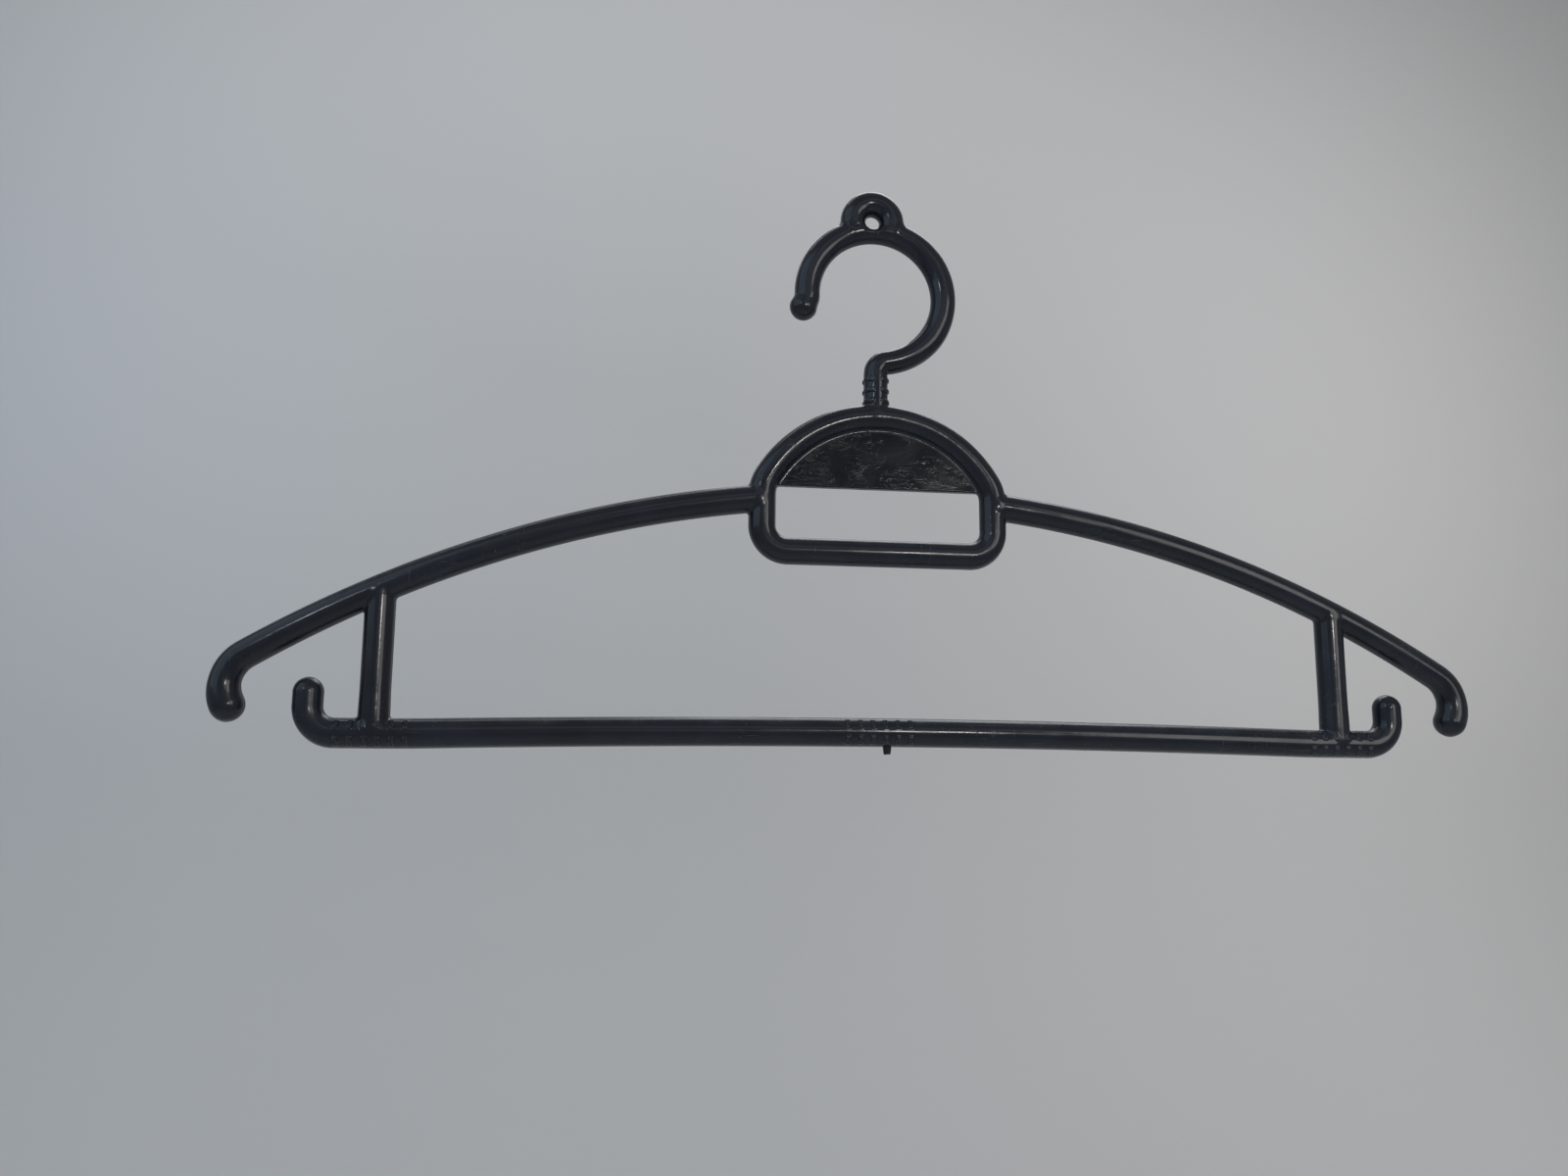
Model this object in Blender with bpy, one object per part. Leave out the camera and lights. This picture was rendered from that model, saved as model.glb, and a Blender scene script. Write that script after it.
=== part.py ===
"""A moulded clothes hanger with a shaped top frame, a trouser bar and strap hooks.

Units are metres.  The hanger lies in the XZ plane: +X along its width, +Z up as it
hangs, and +Y through its thickness to the back.  The origin is the rail seat, the
lowest point of the hook's crown, where the hanger rests on a rail.

The real hanger is one moulding.  Each of its members is a separate solid here, cut
where one rod runs into the next, with a gap of CUT_GAP at every cut.
"""

import math

import bmesh
import bpy
from mathutils import Matrix

# Rods
ROD_RADIUS = 0.0045
ROD_SIDES = 16
CUT_GAP = 0.0003

# Hook, eye and neck
HOOK_X = -0.0008
HOOK_RADIUS = 0.0239
HOOK_ROD = 0.0043
HOOK_CENTRE_Z = -(HOOK_RADIUS - HOOK_ROD)
HOOK_END_ANGLE = 181
HOOK_TURN_RADIUS = 0.006
HOOK_TURN = 22
HOOK_TIP_REACH = 0.0026
HOOK_BALL = 0.0047
BEND_RADIUS = 0.0042
BEND_ROD = 0.0040
BEND_TAPER = 47
EYE_X = -0.0019
EYE_Z = 0.0074
EYE_RADIUS = 0.0068
EYE_ROD = 0.0043
NECK_X = -0.0009
NECK_ROD = 0.0042

# Top frame: an arch over two straight sides and a straight foot
ARCH_RADIUS = 0.0438
ARCH_CENTRE_Z = -0.1069
FRAME_HALF_WIDTH = 0.0395
FRAME_FOOT_Z = -0.1099
SHOULDER_RADIUS = 0.012
CORNER_RADIUS = 0.0085
PLATE_EDGE_Z = -0.088
PLATE_THICKNESS = 0.003

# Arms and their tips
ARM_ROD = 0.0046
ARM_RADIUS = 0.375
ARM_CENTRE_Z = -0.4653
ARM_SPLIT_X = 0.183
ARM_END_X = 0.199
TIP_RADIUS = 0.0121
TIP_TURN = 84
TIP_ROD = 0.0047
TIP_BALL = 0.0053

# Uprights, trouser bar and strap hooks
UPRIGHT_X = 0.1599
UPRIGHT_ROD = 0.0047
BAR_ROD = 0.0046
BAR_END_Z = -0.1714
BAR_RISE = 0.0021
BAR_RISE_HALF_SPAN = 0.150
BAR_BEND_X = 0.1715
BAR_BEND_RADIUS = 0.0083
BAR_BEND_SPLIT = 18
STRAP_HOOK_RISE = 0.0042
GRIP_PITCH = 0.00413
CENTRE_RIBS_X = -0.0008
GRIP_HALF_LENGTH = 0.0128
END_GRIP_START_X = 0.1480

# Ribs
RIB_WIDTH = 0.0013
RIB_HEIGHT = 0.00045
RIB_INNER_ANGLE = 18
RIB_OUTER_ANGLE = 54
NECK_RIB_PITCH = 0.0038

# Sprue nub under the bar
GATE_X = 0.0024
GATE_RADIUS = 0.0013
GATE_LENGTH = 0.0022

NAVY_PLASTIC = (0.020, 0.023, 0.032)


def clear_scene():
    for obj in list(bpy.data.objects):
        bpy.data.objects.remove(obj)


def plastic(name):
    material = bpy.data.materials.new(name)
    material.use_nodes = True
    shader = material.node_tree.nodes["Principled BSDF"]
    shader.inputs["Base Color"].default_value = (*NAVY_PLASTIC, 1)
    shader.inputs["Roughness"].default_value = 0.34
    shader.inputs["Metallic"].default_value = 0.0
    return material


def add_object(name, mesh_builder):
    """An object from a filled bmesh, shaded smooth but for its cut ends."""
    bmesh.ops.recalc_face_normals(mesh_builder, faces=mesh_builder.faces)
    mesh = bpy.data.meshes.new(name)
    mesh_builder.to_mesh(mesh)
    mesh_builder.free()
    mesh.shade_smooth()
    mesh.set_sharp_from_angle(angle=math.radians(40))
    mesh.materials.append(plastic(f"{name}_plastic"))
    obj = bpy.data.objects.new(name, mesh)
    bpy.context.scene.collection.objects.link(obj)
    return obj


# Stations are (x, z, heading in degrees, rod radius) along a centre line in the XZ plane.


def arc(centre_x, centre_z, radius, start, end, steps, rod_radius=ROD_RADIUS):
    """Stations round an arc from the angle start to end, in degrees."""
    turn = 90 if end > start else -90
    found = []
    for step in range(steps + 1):
        angle = start + (end - start) * step / steps
        x = centre_x + radius * math.cos(math.radians(angle))
        z = centre_z + radius * math.sin(math.radians(angle))
        found.append((x, z, angle + turn, rod_radius))
    return found


def line(x0, z0, x1, z1, steps=1, rod_radius=ROD_RADIUS):
    heading = math.degrees(math.atan2(z1 - z0, x1 - x0))
    shares = [step / steps for step in range(steps + 1)]
    return [(x0 + (x1 - x0) * s, z0 + (z1 - z0) * s, heading, rod_radius) for s in shares]


def ahead(station, distance):
    x, z, heading, rod_radius = station
    turned = math.radians(heading)
    return (x + distance * math.cos(turned), z + distance * math.sin(turned), heading, rod_radius)


def ball_end(stations, ball_radius, rings=5):
    """Stations that run into a ball centred on the last one, which closes the rod."""
    centre = stations[-1]
    start = math.degrees(math.asin(min(1.0, centre[3] / ball_radius)))
    neck = ball_radius * math.cos(math.radians(start))
    kept = [s for s in stations if math.dist(s[:2], centre[:2]) > neck + 0.0004]
    for ring in range(rings * 2):
        angle = math.radians(start + (180 - start) * ring / (rings * 2))
        x, z, heading, _ = ahead(centre, -ball_radius * math.cos(angle))
        kept.append((x, z, heading, ball_radius * math.sin(angle)))
    return kept, ahead(centre, ball_radius)


def mirrored(stations):
    return [(-x, z, 180 - heading, rod_radius) for x, z, heading, rod_radius in stations]


def grown(stations, amount):
    return [(x, z, heading, rod_radius + amount) for x, z, heading, rod_radius in stations]


def ring_points(station, bumps=()):
    """The points round one station; bumps holds each side's extra radius."""
    x, z, heading, rod_radius = station
    across = math.radians(heading + 90)
    points = []
    for side in range(ROD_SIDES):
        angle = 2 * math.pi * side / ROD_SIDES
        radius = rod_radius + (bumps[side] if bumps else 0)
        offset = radius * math.cos(angle)
        points.append((
            x + offset * math.cos(across),
            radius * math.sin(angle),
            z + offset * math.sin(across),
        ))
    return points


def add_rod(name, stations, pole=None, closed=False, bumps=None):
    """A round rod along the stations, with flat ends unless it is closed or has a pole."""
    builder = bmesh.new()
    rings = []
    for index, station in enumerate(stations):
        points = ring_points(station, bumps[index] if bumps else ())
        rings.append([builder.verts.new(point) for point in points])
    pairs = list(zip(rings, rings[1:] + rings[:1]))
    for near, far in pairs if closed else pairs[:-1]:
        for side in range(ROD_SIDES):
            after = (side + 1) % ROD_SIDES
            builder.faces.new((near[side], near[after], far[after], far[side]))
    if not closed:
        builder.faces.new(rings[0])
        if pole:
            tip = builder.verts.new((pole[0], 0, pole[1]))
            for side in range(ROD_SIDES):
                builder.faces.new((rings[-1][side], rings[-1][(side + 1) % ROD_SIDES], tip))
        else:
            builder.faces.new(rings[-1])
    return add_object(name, builder)


def cut(piece, cutter):
    cutter.hide_render = True
    cutter.display_type = "WIRE"
    modifier = piece.modifiers.new("cut", "BOOLEAN")
    modifier.operation = "DIFFERENCE"
    modifier.solver = "EXACT"
    modifier.object = cutter


def cope(piece, stations, closed=False, gap=CUT_GAP):
    """Cuts a piece to fit round the rod along the stations, a gap away from it."""
    cut(piece, add_rod(f"{piece.name}_cope", grown(stations, gap), closed=closed))


def bore_hole(hook):
    """Carries the eye's hole, which runs along Y, into the top of the hook's crown."""
    radius = EYE_RADIUS - EYE_ROD
    builder = bmesh.new()
    bmesh.ops.create_cone(
        builder, cap_ends=True, segments=ROD_SIDES, radius1=radius, radius2=radius, depth=0.02
    )
    bmesh.ops.rotate(builder, verts=builder.verts, matrix=Matrix.Rotation(math.pi / 2, 3, "X"))
    bmesh.ops.translate(builder, verts=builder.verts, vec=(EYE_X, 0, EYE_Z))
    cut(hook, add_object("eye_bore", builder))


def rib_bumps():
    """The extra radius round a ring on a rib: two shoulders on the front and on the back."""
    bumps = []
    for side in range(ROD_SIDES):
        angle = 360 * side / ROD_SIDES
        off_face = min(abs(angle - 90), abs(angle - 270))
        raised = RIB_INNER_ANGLE - 1 < off_face < RIB_OUTER_ANGLE + 1
        bumps.append(RIB_HEIGHT if raised else 0)
    return bumps


def add_ribbed_rod(name, stations, rib_places):
    """A rod whose ribs stand at the given places, each an (x, z, heading, rod) station."""
    flat = [0] * ROD_SIDES
    raised = rib_bumps()
    marked = [(station, flat) for station in stations]
    for place in rib_places:
        for offset, bumps in ((-0.5, flat), (-0.38, raised), (0.38, raised), (0.5, flat)):
            marked.append((ahead(place, offset * RIB_WIDTH), bumps))
    start = stations[0]
    marked.sort(key=lambda pair: math.dist(pair[0][:2], start[:2]))
    return add_rod(name, [pair[0] for pair in marked], bumps=[pair[1] for pair in marked])


# Centre lines


def hook_bend():
    """The tight bend from the neck into the hook's circle."""
    reach = HOOK_RADIUS + BEND_RADIUS
    centre_x = NECK_X + BEND_RADIUS
    aside = centre_x - HOOK_X
    centre_z = HOOK_CENTRE_Z - math.sqrt(reach**2 - aside**2)
    join = math.degrees(math.atan2(centre_z - HOOK_CENTRE_Z, aside))
    return arc(centre_x, centre_z, BEND_RADIUS, 180, join + 180, 8, BEND_ROD), join


def hook_circle(join):
    """The hook's circle, thinner where it leaves the bend."""
    found = []
    for x, z, heading, _ in arc(HOOK_X, HOOK_CENTRE_Z, HOOK_RADIUS, join, HOOK_END_ANGLE, 36):
        share = min(1.0, (heading - 90 - join) / BEND_TAPER)
        found.append((x, z, heading, BEND_ROD + (HOOK_ROD - BEND_ROD) * share))
    return found


def hook_turn(start):
    """The outward turn of the hook's free end."""
    x, z, heading, rod_radius = start
    turned = math.radians(heading)
    centre_x = x + HOOK_TURN_RADIUS * math.sin(turned)
    centre_z = z - HOOK_TURN_RADIUS * math.cos(turned)
    angle = heading + 90
    turn = arc(centre_x, centre_z, HOOK_TURN_RADIUS, angle, angle - HOOK_TURN, 4, rod_radius)
    return turn + [ahead(turn[-1], HOOK_TIP_REACH)]


def frame_loop():
    """The closed centre line of the top frame, from the right foot round over the arch."""
    side_x = FRAME_HALF_WIDTH
    inner = side_x - SHOULDER_RADIUS
    reach = ARCH_RADIUS - SHOULDER_RADIUS
    shoulder_z = ARCH_CENTRE_Z + math.sqrt(reach**2 - inner**2)
    lean = math.degrees(math.atan2(shoulder_z - ARCH_CENTRE_Z, inner))
    corner_x = side_x - CORNER_RADIUS
    corner_z = FRAME_FOOT_Z + CORNER_RADIUS
    right = arc(corner_x, corner_z, CORNER_RADIUS, -90, 0, 7)
    right += line(side_x, corner_z, side_x, shoulder_z, 2)[1:-1]
    right += arc(inner, shoulder_z, SHOULDER_RADIUS, 0, lean, 3)
    over = arc(0, ARCH_CENTRE_Z, ARCH_RADIUS, lean, 180 - lean, 20)[1:-1]
    left = [(-x, z, -heading, rod_radius) for x, z, heading, rod_radius in reversed(right)]
    return right + over + left


def arm_path(start_x, end_x, steps):
    start = math.degrees(math.acos(start_x / ARM_RADIUS))
    end = math.degrees(math.acos(end_x / ARM_RADIUS))
    return arc(0, ARM_CENTRE_Z, ARM_RADIUS, start, end, steps, ARM_ROD)


def tip_path():
    """The arm's end from the split, then the bend down to the ball's centre."""
    run = arm_path(ARM_SPLIT_X + CUT_GAP, ARM_END_X, 3)
    x, z, heading, _ = run[-1]
    across = math.radians(heading - 90)
    centre_x = x + TIP_RADIUS * math.cos(across)
    centre_z = z + TIP_RADIUS * math.sin(across)
    bend = arc(centre_x, centre_z, TIP_RADIUS, heading + 90, heading + 90 - TIP_TURN, 10)[1:]
    path = run + bend
    last = len(path) - 1
    return [
        (x, z, heading, ARM_ROD + (TIP_ROD - ARM_ROD) * index / last)
        for index, (x, z, heading, _) in enumerate(path)
    ]


def bar_z(x):
    """The bar's centre line, which rises a little towards its middle."""
    return BAR_END_Z + BAR_RISE * max(0.0, 1 - (x / BAR_RISE_HALF_SPAN) ** 2)


def bar_path(start_x, end_x, steps):
    found = []
    for step in range(steps + 1):
        x = start_x + (end_x - start_x) * step / steps
        slope = (bar_z(x + 1e-5) - bar_z(x - 1e-5)) / 2e-5
        found.append((x, bar_z(x), math.degrees(math.atan(slope)), BAR_ROD))
    return found


def bar_bend(start, end, steps):
    """The bar's bend up into a strap hook, by angle turned."""
    centre_z = BAR_END_Z + BAR_BEND_RADIUS
    return arc(BAR_BEND_X, centre_z, BAR_BEND_RADIUS, start - 90, end - 90, steps, BAR_ROD)


# Members


def build_hook():
    bend, join = hook_bend()
    circle = hook_circle(join)
    turn = hook_turn(circle[-1])
    hook = add_rod("rail_hook", bend + circle[1:])
    bore_hole(hook)
    tip_start = ahead(circle[-1], CUT_GAP)
    stations, pole = ball_end([tip_start] + turn[1:], HOOK_BALL)
    add_rod("hook_tip", stations, pole)
    eye = add_rod("hanging_eye", arc(EYE_X, EYE_Z, EYE_RADIUS, -34, 214, 18, EYE_ROD))
    cope(eye, circle)


def build_neck():
    bend, _ = hook_bend()
    top = bend[0][1] - CUT_GAP
    foot = ARCH_CENTRE_Z + ARCH_RADIUS
    ribs = []
    for index in range(2):
        ribs.append((NECK_X, top - NECK_RIB_PITCH * (index + 0.9), -90, NECK_ROD))
    neck = add_ribbed_rod("neck", line(NECK_X, top, NECK_X, foot, 1, NECK_ROD), ribs)
    cope(neck, frame_loop(), closed=True)


def build_top_frame():
    add_rod("top_frame", frame_loop(), closed=True)


def build_label_plate():
    """The half-moon web inside the arch, with a straight lower edge."""
    reach = ARCH_RADIUS - ROD_RADIUS - CUT_GAP
    inner = FRAME_HALF_WIDTH - SHOULDER_RADIUS
    shoulder_z = ARCH_CENTRE_Z + math.sqrt((ARCH_RADIUS - SHOULDER_RADIUS) ** 2 - inner**2)
    shoulder = SHOULDER_RADIUS - ROD_RADIUS - CUT_GAP
    lean = math.degrees(math.atan2(shoulder_z - ARCH_CENTRE_Z, inner))
    start = math.degrees(math.asin((PLATE_EDGE_Z - shoulder_z) / shoulder))
    right = arc(inner, shoulder_z, shoulder, start, lean, 3)
    over = arc(0, ARCH_CENTRE_Z, reach, lean, 180 - lean, 24)[1:-1]
    outline = [(x, z) for x, z, _, _ in right + over]
    outline += [(-x, z) for x, z, _, _ in reversed(right)]
    builder = bmesh.new()
    half = PLATE_THICKNESS / 2
    front = builder.faces.new([builder.verts.new((x, -half, z)) for x, z in outline])
    made = bmesh.ops.extrude_face_region(builder, geom=[front])
    back = [item for item in made["geom"] if isinstance(item, bmesh.types.BMVert)]
    bmesh.ops.translate(builder, verts=back, vec=(0, PLATE_THICKNESS, 0))
    add_object("label_plate", builder)


def build_side(side, turned):
    """One half's arm, tip, upright and strap hook; turned mirrors a path for the left."""
    arm = add_rod(f"{side}_arm", turned(arm_path(FRAME_HALF_WIDTH, ARM_SPLIT_X, 14)))
    cope(arm, frame_loop(), closed=True)

    stations, pole = ball_end(tip_path(), TIP_BALL)
    tip = turned(stations)
    tip_pole = turned([pole])[0]
    add_rod(f"{side}_arm_tip", tip, tip_pole)

    top_z = ARM_CENTRE_Z + math.sqrt(ARM_RADIUS**2 - UPRIGHT_X**2)
    upright = line(UPRIGHT_X, BAR_END_Z, UPRIGHT_X, top_z, 1, UPRIGHT_ROD)
    post = add_rod(f"{side}_upright", turned(upright))
    cope(post, turned(arm_path(UPRIGHT_X - 0.016, UPRIGHT_X + 0.016, 3)))
    seat = turned(bar_path(UPRIGHT_X - 0.011, UPRIGHT_X + 0.011, 1))
    cope(post, seat, gap=CUT_GAP + RIB_HEIGHT)

    grip_run = bar_path(END_GRIP_START_X, BAR_BEND_X, 1) + bar_bend(0, BAR_BEND_SPLIT, 2)[1:]
    ribs = [ahead((UPRIGHT_X, BAR_END_Z, 0, BAR_ROD), GRIP_PITCH * (i - 2.5))
            for i in range(6)]
    add_ribbed_rod(f"{side}_bar_grip", turned(grip_run), turned(ribs))

    hook = bar_bend(BAR_BEND_SPLIT, 90, 8)
    hook[0] = ahead(hook[0], CUT_GAP)
    hook.append(ahead(hook[-1], STRAP_HOOK_RISE))
    stations, pole = ball_end(hook, BAR_ROD)
    add_rod(f"{side}_strap_hook", turned(stations), turned([pole])[0])

    span = bar_path(GRIP_HALF_LENGTH + CUT_GAP, END_GRIP_START_X - CUT_GAP, 8)
    add_rod(f"{side}_bar_span", turned(span))


def build_centre_grip():
    run = bar_path(-GRIP_HALF_LENGTH, GRIP_HALF_LENGTH, 2)
    ribs = []
    for index in range(6):
        x = CENTRE_RIBS_X + GRIP_PITCH * (index - 2.5)
        ribs.append((x, bar_z(x), 0, BAR_ROD))
    add_ribbed_rod("centre_bar_grip", run, ribs)


def build_gate_nub():
    top = bar_z(GATE_X) - BAR_ROD - CUT_GAP
    add_rod("gate_nub", line(GATE_X, top, GATE_X, top - GATE_LENGTH, 1, GATE_RADIUS))


clear_scene()
build_hook()
build_neck()
build_top_frame()
build_label_plate()
build_side("right", list)
build_side("left", mirrored)
build_centre_grip()
build_gate_nub()
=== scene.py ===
"""The moulded hanger as it looks: one plastic moulding, shown as its separate members.

The hanger's surface is one smooth field, a signed distance: round rods along centre lines,
run together with small fillets.  Each member is a closed mesh of its own stretch of that
field.  Shapes are in millimetres until a mesh is made; the stage, the lights and the camera
are in metres.  The hanger lies in the xz plane, with its front towards -y and its origin
under the hook's crown.
"""

import math

import bpy
import numpy as np
from mathutils import Matrix


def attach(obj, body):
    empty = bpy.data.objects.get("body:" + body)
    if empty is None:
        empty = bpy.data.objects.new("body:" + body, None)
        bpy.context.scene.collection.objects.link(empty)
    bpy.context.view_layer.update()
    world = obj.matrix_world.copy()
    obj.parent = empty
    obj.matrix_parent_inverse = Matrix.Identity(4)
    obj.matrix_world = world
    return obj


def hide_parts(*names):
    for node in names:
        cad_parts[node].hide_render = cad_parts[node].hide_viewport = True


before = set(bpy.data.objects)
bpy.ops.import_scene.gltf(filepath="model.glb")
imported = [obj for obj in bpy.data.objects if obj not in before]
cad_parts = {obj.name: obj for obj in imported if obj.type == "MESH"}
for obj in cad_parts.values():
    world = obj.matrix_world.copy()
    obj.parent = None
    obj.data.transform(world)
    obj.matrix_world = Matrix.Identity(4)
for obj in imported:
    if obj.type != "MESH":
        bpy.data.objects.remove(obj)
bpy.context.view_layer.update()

# ---------------------------------------------------------------- dimensions, mm

# A name ending in ROD is a rod's radius, one ending in _R is the radius of a bend, and one
# ending in _X, _Z or Z is a place.  Angles are in degrees.
ROD = 4.5
HOOK_X, HOOK_R, HOOK_ROD = -0.8, 23.9, 4.3
HOOK_Z = -(HOOK_R - HOOK_ROD)
HOOK_END, HOOK_TAPER, HOOK_TURN, HOOK_TURN_R = 181, 47, 22, 6.0
HOOK_REACH, HOOK_BALL = 2.6, 4.65
NECK_X, NECK_ROD = -0.9, 4.1
NECK_RIB_DEPTH, NECK_RIBS, NECK_PITCH = 50.2, 3, 3.8
BEND_R, BEND_ROD = 4.2, 4.0
EYE_X, EYE_Z, EYE_R, EYE_ROD = -1.9, 7.4, 6.8, 4.3
EYE_START, EYE_END = -14, 194
ARCH_R, ARCH_Z = 43.8, -106.9
FRAME_X, FOOT_Z = 39.5, -109.9
SHOULDER_R, CORNER_R = 12.0, 8.5
PLATE_Z, PLATE_HALF, PLATE_ROUND = -88.0, 1.5, 0.4
ARM_ROD, ARM_R, ARM_Z = 4.6, 375.0, -465.3
ARM_START, ARM_SPLIT, ARM_END = FRAME_X + 1.8, 183.0, 199.0
TIP_R, TIP_TURN, TIP_ROD, TIP_BALL = 12.1, 85, 4.7, 5.2
UPRIGHT_X, UPRIGHT_ROD, UPRIGHT_SWELL = 159.9, 4.7, 0.15
UPRIGHT_FOOT_INSET, UPRIGHT_TOP_INSET = 2.7, 2.4
BAR_ROD, BAR_Z, BAR_RISE, BAR_HALF = 4.6, -171.4, 2.1, 150.0
BAR_BEND_X, BAR_BEND_R, BAR_BEND_SPLIT = 171.5, 8.3, 18
STRAP_RISE = 4.2
GRIP_PITCH, GRIP_RIBS, GRIP_HALF, GRIP_START = 4.13, 6, 12.8, 148.0
GRIP_MIDDLE_X = -0.8
RIB_HEIGHT, RIB_HALF_WIDTH, RIB_SPREAD, RIB_SLOPE = 0.50, 0.72, 0.22, 0.5
RIB_FROM, RIB_RISE, RIB_TO, RIB_FALL, NECK_RIB_TO = 11, 9, 62, 11, 84
SEAM_HEIGHT, SEAM_HALF_WIDTH, SEAM_SPACING = 0.08, 0.17, 0.35
SEAM_EDGE_SINK, SEAM_SINK = 0.02, 0.12
GATE_X, GATE_ROD, GATE_TOP, GATE_FOOT, GATE_ROUND = 2.4, 1.25, -173.2, -176.3, 0.25
EYE_FILLET, WEB_FILLET, NECK_FILLET, FRAME_ARM_FILLET = 1.7, 0.6, 0.9, 1.0
UPRIGHT_TOP_FILLET, UPRIGHT_FOOT_FILLET = 0.8, 1.0

# ---------------------------------------------------------------- the field


def smooth_step(value):
    """0 below 0 and 1 above 1, with a smooth rise between."""
    value = np.clip(value, 0, 1)
    return value * value * (3 - 2 * value)


def blended(a, b, fillet):
    """The union of two fields, with a round fillet where they meet."""
    fillet = np.maximum(fillet, 1e-6)
    u = np.maximum(fillet - a, 0)
    v = np.maximum(fillet - b, 0)
    return np.maximum(fillet, np.minimum(a, b)) - np.hypot(u, v)


def arc(p, centre, radius, start, end, rod, rod_end=None):
    """A rod bent round a centre in the xz plane, from one angle to another."""
    x, y, z = p
    dx, dz = x - centre[0], z - centre[1]
    middle, half = (start + end) / 2, abs(end - start) / 2
    off = (np.degrees(np.arctan2(dz, dx)) - middle + 180) % 360 - 180
    off = np.clip(off, -half, half)
    angle = np.radians(middle + off)
    away = np.hypot(dx - radius * np.cos(angle), dz - radius * np.sin(angle))
    if rod_end is not None:
        share = (off / half * np.sign(end - start) + 1) / 2
        rod = rod + (rod_end - rod) * share
    return np.hypot(away, y) - rod


def line(p, a, b, rod, rod_end=None):
    """A straight rod between two places in the xz plane."""
    x, y, z = p
    run = (b[0] - a[0], b[1] - a[1])
    share = ((x - a[0]) * run[0] + (z - a[1]) * run[1]) / (run[0] ** 2 + run[1] ** 2)
    share = np.clip(share, 0, 1)
    away = np.hypot(x - a[0] - run[0] * share, z - a[1] - run[1] * share)
    if rod_end is not None:
        rod = rod + (rod_end - rod) * share
    return np.hypot(away, y) - rod


def unit(degrees):
    """The direction at this angle in the xz plane."""
    return np.array([math.cos(math.radians(degrees)), math.sin(math.radians(degrees))])


def rib_window(across, along_y, last=RIB_TO):
    """The share of a rib's height at a place round the rod: two shoulders, front and back."""
    off = np.degrees(np.arctan2(np.abs(across), np.abs(along_y)))
    return smooth_step((off - RIB_FROM) / RIB_RISE) * smooth_step((last - off) / RIB_FALL)


def rib_row(along, first, count, pitch):
    """1 on a rib and 0 between ribs, along a row of them."""
    nearest = np.clip(np.round((along - first) / pitch), 0, count - 1)
    off = np.abs(along - first - nearest * pitch)
    return smooth_step((RIB_HALF_WIDTH + RIB_SPREAD - off) / RIB_SLOPE)


BEND_CENTRE_X = NECK_X + BEND_R
BEND_CENTRE_Z = HOOK_Z - math.sqrt((HOOK_R + BEND_R) ** 2 - (BEND_CENTRE_X - HOOK_X) ** 2)
HOOK_JOIN = math.degrees(math.atan2(BEND_CENTRE_Z - HOOK_Z, BEND_CENTRE_X - HOOK_X))
HOOK_STOP = np.array([HOOK_X, HOOK_Z]) + HOOK_R * unit(HOOK_END)


def neck_field(p):
    """The short ribbed neck, a little thicker below the bend."""
    x, y, z = p
    rod = BEND_ROD + (NECK_ROD - BEND_ROD) * smooth_step((BEND_CENTRE_Z + 1.0 - z) / 3.0)
    ribs = rib_row(-z, NECK_RIB_DEPTH, NECK_RIBS, NECK_PITCH)
    ribs = ribs * rib_window(x - NECK_X, y, NECK_RIB_TO)
    beyond = z - np.clip(z, ARCH_Z + ARCH_R, BEND_CENTRE_Z)
    away = np.hypot(np.hypot(x - NECK_X, beyond), y)
    return away - rod - RIB_HEIGHT * ribs


def hook_field(p):
    """From the neck's bend round the circle, then out through a small turn to the ball."""
    centre = (HOOK_X, HOOK_Z)
    bend = arc(p, (BEND_CENTRE_X, BEND_CENTRE_Z), BEND_R, 180, HOOK_JOIN + 180, BEND_ROD)
    taper_end = HOOK_JOIN + HOOK_TAPER
    taper = arc(p, centre, HOOK_R, HOOK_JOIN, taper_end, BEND_ROD, HOOK_ROD)
    circle = arc(p, centre, HOOK_R, taper_end, HOOK_END, HOOK_ROD)
    heading = HOOK_END + 90
    turn_start, turn_end = heading + 90, heading + 90 - HOOK_TURN
    turn_centre = HOOK_STOP + HOOK_TURN_R * unit(heading - 90)
    turn = arc(p, turn_centre, HOOK_TURN_R, turn_start, turn_end, HOOK_ROD)
    end = turn_centre + HOOK_TURN_R * unit(turn_end)
    tip = end + HOOK_REACH * unit(heading - HOOK_TURN)
    stub = line(p, end, tip, HOOK_ROD, HOOK_BALL)
    return np.minimum.reduce([bend, taper, circle, turn, stub])


def hook_zone(p):
    """The hook and neck with the eye, whose bore stays a clean ring."""
    x, y, z = p
    body = np.minimum(hook_field(p), neck_field(p))
    eye = arc(p, (EYE_X, EYE_Z), EYE_R, EYE_START, EYE_END, EYE_ROD)
    out = np.hypot(x - EYE_X, z - EYE_Z)
    body = blended(body, eye, EYE_FILLET * smooth_step((out - EYE_R) / 2.5))
    ring = np.hypot(out - EYE_R, y) - EYE_ROD
    return np.where(out < EYE_R, np.maximum(body, ring), body)


def arm_field(p):
    """Both arms, without their turned-down ends."""
    x, y, z = p
    aside = (np.abs(x), y, z)
    low = math.degrees(math.acos(ARM_END / ARM_R))
    high = math.degrees(math.acos(ARM_START / ARM_R))
    return arc(aside, (0, ARM_Z), ARM_R, high, low, ARM_ROD)


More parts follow.
